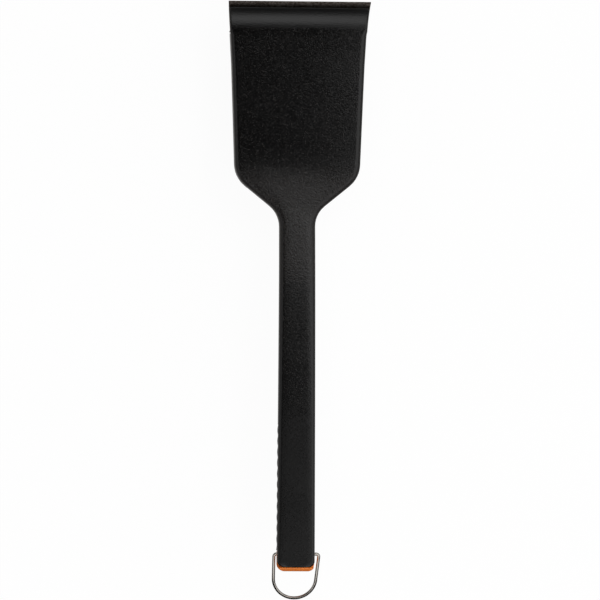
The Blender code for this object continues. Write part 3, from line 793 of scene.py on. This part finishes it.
def modelScrew():
    # head above z = 0, shank below, cross recess in the head
    bpy.ops.mesh.primitive_cylinder_add(
        vertices=screw["sides"], radius=screw["head"], depth=screw["height"],
        location=(0, 0, screw["height"] / 2))
    piece = added("screwModel")
    settle(piece)
    bpy.ops.object.mode_set(mode="EDIT")
    pick(piece, "EDGE", lambda e: all(v.co.z > screw["height"] * screw["nearTop"] for v in e.verts))
    bpy.ops.mesh.bevel(offset=screw["rim"], segments=screw["rimSegments"], affect="EDGES")
    pick(piece, "FACE", lambda f: f.normal.z < screw["facingDown"])
    bpy.ops.mesh.inset(thickness=screw["head"] - screw["shank"])
    bpy.ops.mesh.extrude_region_move(TRANSFORM_OT_translate={"value": (0, 0, -screw["shankLength"])})
    bpy.ops.transform.resize(value=(screw["point"], screw["point"], 1))
    bpy.ops.object.mode_set(mode="OBJECT")
    for turn in (0, math.pi / 2):
        bpy.ops.mesh.primitive_cube_add(
            size=1, location=(0, 0, screw["height"]), rotation=(0, 0, turn),
            scale=(screw["recess"], screw["slot"], screw["depth"] * 2))
        cutter = added("recessCutter")
        applyModifier(piece, "BOOLEAN", "recess", operation="DIFFERENCE", solver="EXACT", object=cutter)
        bpy.data.objects.remove(cutter)
    takeUp(piece)
    bpy.ops.object.shade_smooth_by_angle(angle=screw["smooth"])
    return piece


def makeScrews():
    model = modelScrew()
    finish = screwFinish()
    for node in sorted(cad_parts):
        if "_screw" not in node:
            continue
        low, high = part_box(node)
        middle = (low + high) / 2
        # the scraper's screws face the front, all others face down
        if node.startswith("scraper"):
            place, tilt = (middle.x, high.y - screw["height"], middle.z), -math.pi / 2
        else:
            place, tilt = (middle.x, middle.y, low.z + screw["height"]), math.pi
        seat = Matrix.Translation(place) @ Matrix.Rotation(tilt, 4, "X")
        driven = Matrix.Rotation(random.Random(node).uniform(0, math.pi / 2), 4, "Z")
        first, *words = node.split("_")
        piece = copied(model, first + "".join(word.title() for word in words), seat @ driven)
        finishPiece(piece, finish, "screw_steel", "brush", node)
    bpy.data.objects.remove(model)


bristles = {
    "strand": 0.00030,
    "sides": 5,
    "bends": (0.0, 0.00012, 0.00042, 0.00085),  # how far the strand has bowed out at each quarter
    "tipTaper": 0.8,
    "smooth": math.radians(80),
    "root": 0.0015,  # radius of a tuft where it leaves the backing
    "splay": 0.55,  # how much wider a tuft gets by its tips, as a share of its root
    "splayOver": 0.026,  # the length over which it widens so
    "strandTurn": 2.39996,  # radians from strand to strand round the tuft
    "turnPlay": 0.3,
    "leanPlay": 0.012,
    "shortest": 0.985,
    "twistPlay": 0.8,
    "strandsPerTuft": 20,
    "tuftKinds": 5,
    "tuftsAcross": 15,
    "tuftTurn": 6.28,
    "rowGap": 0.0046,
    "top": 0.0260,
    "bottom": 0.0002,
    "backing": 0.0014,
    "backingWidth": 0.0060,
    "backingEdge": 0.0003,
    "backingSegments": 2,
    "sunk": 0.0004,  # how far the tufts go into the backing
    "endPlay": 0.0004,
    "endMargin": 0.0030,
    "seed": 11,
}


def modelStrand():
    # hangs from z = 0, as long as the longest strand, bowed towards +X
    length = bristles["top"] - bristles["bottom"]
    bpy.ops.mesh.primitive_circle_add(vertices=bristles["sides"], radius=bristles["strand"], fill_type="NGON")
    piece = added("strandModel")
    bpy.ops.object.mode_set(mode="EDIT")
    bpy.ops.mesh.select_all(action="SELECT")
    bow = 0.0
    for further in bristles["bends"]:
        move = (further - bow, 0, -length / len(bristles["bends"]))
        bpy.ops.mesh.extrude_region_move(TRANSFORM_OT_translate={"value": move})
        bow = further
    bpy.ops.transform.resize(value=(bristles["tipTaper"], bristles["tipTaper"], 1))
    bpy.ops.mesh.select_all(action="SELECT")
    bpy.ops.mesh.normals_make_consistent(inside=False)
    bpy.ops.object.mode_set(mode="OBJECT")
    bpy.ops.object.shade_smooth_by_angle(angle=bristles["smooth"])
    return piece


def modelTuft(strand, seed):
    draws = random.Random(seed)
    turnPlay, leanPlay, twistPlay = bristles["turnPlay"], bristles["leanPlay"], bristles["twistPlay"]
    strands = []
    for i in range(bristles["strandsPerTuft"]):
        share = math.sqrt((i + 0.5) / bristles["strandsPerTuft"])
        turn = i * bristles["strandTurn"] + draws.uniform(-turnPlay, turnPlay)
        out = Vector((math.cos(turn), math.sin(turn), 0)) * share * bristles["root"]
        lean = Matrix.Identity(4)
        lean[0][2] = -out.x * bristles["splay"] / bristles["splayOver"] + draws.uniform(-leanPlay, leanPlay)
        lean[1][2] = -out.y * bristles["splay"] / bristles["splayOver"] + draws.uniform(-leanPlay, leanPlay)
        lean[2][2] = draws.uniform(bristles["shortest"], 1.0)
        twist = Matrix.Rotation(turn + draws.uniform(-twistPlay, twistPlay), 4, "Z")
        strands.append(copied(strand, f"strand{i}", Matrix.Translation(out) @ lean @ twist))
    return joined(strands, "tuftModel")


def makeBacking(middle, width):
    height = bristles["top"] + bristles["backing"] / 2 - bristles["sunk"]
    bpy.ops.mesh.primitive_cube_add(
        size=1, location=(0, middle.y, height),
        scale=(width - bristles["endPlay"], bristles["backingWidth"], bristles["backing"]))
    bar = added("backing")
    settle(bar)
    bpy.ops.object.mode_set(mode="EDIT")
    bpy.ops.mesh.select_all(action="SELECT")
    bpy.ops.mesh.bevel(offset=bristles["backingEdge"], segments=bristles["backingSegments"], affect="EDGES")
    bpy.ops.object.mode_set(mode="OBJECT")
    return bar


def makeBristles():
    strand = modelStrand()
    tufts = [modelTuft(strand, kind) for kind in range(bristles["tuftKinds"])]
    finish = nylonFinish()
    draws = random.Random(bristles["seed"])
    for node in sorted(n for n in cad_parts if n.startswith("bristle_strip")):
        low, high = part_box(node)
        middle = (low + high) / 2
        reach = (high.x - low.x) / 2 - bristles["endMargin"]
        pieces = [makeBacking(middle, high.x - low.x)]
        for i in range(bristles["tuftsAcross"]):
            # two rows, the second half a step further on
            for row, further in ((-0.5, 0.25), (0.5, 0.75)):
                x = -reach + 2 * reach * (i + further) / bristles["tuftsAcross"]
                y = middle.y + row * bristles["rowGap"]
                turned = Matrix.Rotation(draws.uniform(0, bristles["tuftTurn"]), 4, "Z")
                place = Matrix.Translation((x, y, bristles["top"])) @ turned
                pieces.append(copied(draws.choice(tufts), "tuft", place))
        piece = joined(pieces, "bristleStrip" + node.rsplit("_", 1)[1])
        finishPiece(piece, finish, "bristle_nylon", "pad", node)
    for model in [strand, *tufts]:
        bpy.data.objects.remove(model)


ground = {
    "size": 80,
    "height": -0.0002,
    "soft": (0.82, 0.82, 0.82, 1),
    "white": 1.05,
    "whiteShare": 0.9,  # of what the camera sees, the rest takes the shadow
    "dimShare": 0.95,  # of what reflections see
    "dark": (0.04, 0.04, 0.04, 1),
    "grey": (0.34, 0.33, 0.32, 1),
    "darkUpTo": -0.235,
    "greyFrom": -0.205,
}


def placeFloor():
    bpy.ops.mesh.primitive_plane_add(size=ground["size"], location=(0, 0, ground["height"]))
    floor = added("studioFloor")
    finish = bpy.data.materials.new("paleFloor")
    finish.use_nodes = True
    tree = finish.node_tree
    tree.nodes.remove(tree.nodes["Principled BSDF"])
    start = Link(tree)
    path = start.node("ShaderNodeLightPath", {}, {}, "Is Camera Ray")
    glossy = start.node("ShaderNodeLightPath", {}, {}, "Is Glossy Ray")
    soft = start.node("ShaderNodeBsdfDiffuse", {}, {"Color": ground["soft"]})
    white = start.node("ShaderNodeEmission", {}, {"Color": (1, 1, 1, 1), "Strength": ground["white"]})
    along = axis(start.node("ShaderNodeTexCoord", {}, {}, "Object"), "Y")
    greyer = step(along, ground["darkUpTo"], ground["greyFrom"])
    dark = start.node("ShaderNodeEmission", {}, {"Color": ground["dark"], "Strength": 1.0})
    grey = start.node("ShaderNodeEmission", {}, {"Color": ground["grey"], "Strength": 1.0})
    dim = start.node("ShaderNodeMixShader", {}, {0: greyer, 1: dark, 2: grey})
    seen = start.node("ShaderNodeMixShader", {}, {0: path * ground["whiteShare"], 1: soft, 2: white})
    above = start.node("ShaderNodeMixShader", {}, {0: glossy * ground["dimShare"], 1: seen, 2: dim})
    clear = start.node("ShaderNodeBsdfTransparent", {}, {})
    below = start.node("ShaderNodeNewGeometry", {}, {}, "Backfacing")
    both = start.node("ShaderNodeMixShader", {}, {0: below, 1: above, 2: clear})
    tree.links.new(both.socket, tree.nodes["Material Output"].inputs["Surface"])
    floor.data.materials.append(finish)


flag = {"height": 0.072, "width": 0.12, "place": -0.246, "black": (0.01, 0.01, 0.01, 1)}


def placeFlag():
    # a black card behind the wire loop, out of the picture, that only reflections see
    bpy.ops.mesh.primitive_plane_add(
        size=1, location=(0, flag["place"], flag["height"] / 2), rotation=(math.pi / 2, 0, 0))
    card = added("blackFlag")
    card.scale = (flag["width"], flag["height"], 1)
    settle(card)
    finish = bpy.data.materials.new("blackCard")
    finish.use_nodes = True
    shader = finish.node_tree.nodes["Principled BSDF"]
    shader.inputs["Base Color"].default_value = flag["black"]
    shader.inputs["Specular IOR Level"].default_value = 0.0
    card.data.materials.append(finish)
    card.visible_camera = False
    card.visible_diffuse = False
    card.visible_shadow = False


lamps = {
    # name: degrees off the zenith, turn from +X, distance, size towards the zenith, size across, radiance
    "front": (25.5, 80, 3.0, 1.2, 3.2, 1.15),
    "spark": (42, 60, 3.0, 1.2, 0.7, 2.1),
    "rear": (39, -90, 3.0, 2.3, 3.4, 0.93),
    "end": (28, -90, 1.3, 0.8, 0.9, 0.38),
    "right": (47, 0, 3.0, 2.9, 3.4, 0.82),
    "left": (64, 180, 3.0, 1.4, 3.0, 0.38),
}


def placeLamps():
    for name, (tilt, turn, distance, high, wide, radiance) in lamps.items():
        data = bpy.data.lights.new(name, "AREA")
        data.shape = "RECTANGLE"
        data.size, data.size_y = high, wide
        data.energy = radiance * math.pi * high * wide
        lamp = bpy.data.objects.new(name, data)
        bpy.context.scene.collection.objects.link(lamp)
        aim = Matrix.Rotation(math.radians(turn), 4, "Z") @ Matrix.Rotation(math.radians(tilt), 4, "Y")
        lamp.matrix_world = aim @ Matrix.Translation((0, 0, distance))


sky = {
    # how high in the sky, and how bright there
    "greys": ((0.0, 0.35), (0.25, 0.25), (0.50, 0.12), (0.80, 0.05), (1.0, 0.03)),
    "endsDimmer": 0.7,  # in front of the brush and behind it
}


def placeSky():
    world = bpy.data.worlds.new("studio")
    world.use_nodes = True
    bpy.context.scene.world = world
    tree = world.node_tree
    start = Link(tree)
    direction = start.node("ShaderNodeTexCoord", {}, {}, "Generated")
    height = axis(direction, "Z")
    ahead = axis(direction, "Y")
    stops = [(place, (grey, grey, grey, 1)) for place, grey in sky["greys"]]
    ramp = height.node("ShaderNodeValToRGB", {"stops": stops}, {0: height})
    strength = 1 - sky["endsDimmer"] * ahead * ahead
    studio = start.node("ShaderNodeBackground", {}, {"Color": ramp, "Strength": strength})
    seen = start.node("ShaderNodeLightPath", {}, {}, "Is Camera Ray")
    white = start.node("ShaderNodeBackground", {}, {"Color": (1, 1, 1, 1), "Strength": 1.0})
    both = start.node("ShaderNodeMixShader", {}, {0: seen, 1: studio, 2: white})
    tree.nodes.remove(tree.nodes["Background"])
    tree.links.new(both.socket, tree.nodes["World Output"].inputs["Surface"])


placeCamera()
placeFloor()
placeFlag()
placeLamps()
placeSky()
print("studio ready")
makeShell()
makeBlade()
makeUnderside()
makeSleeve()
makeCap()
makePlate()
print("moulded pieces ready")
makeLoop()
makeScrews()
print("loop and screws ready")
makeBristles()
print("bristles ready")

scene = bpy.context.scene
scene.view_settings.view_transform = "Standard"
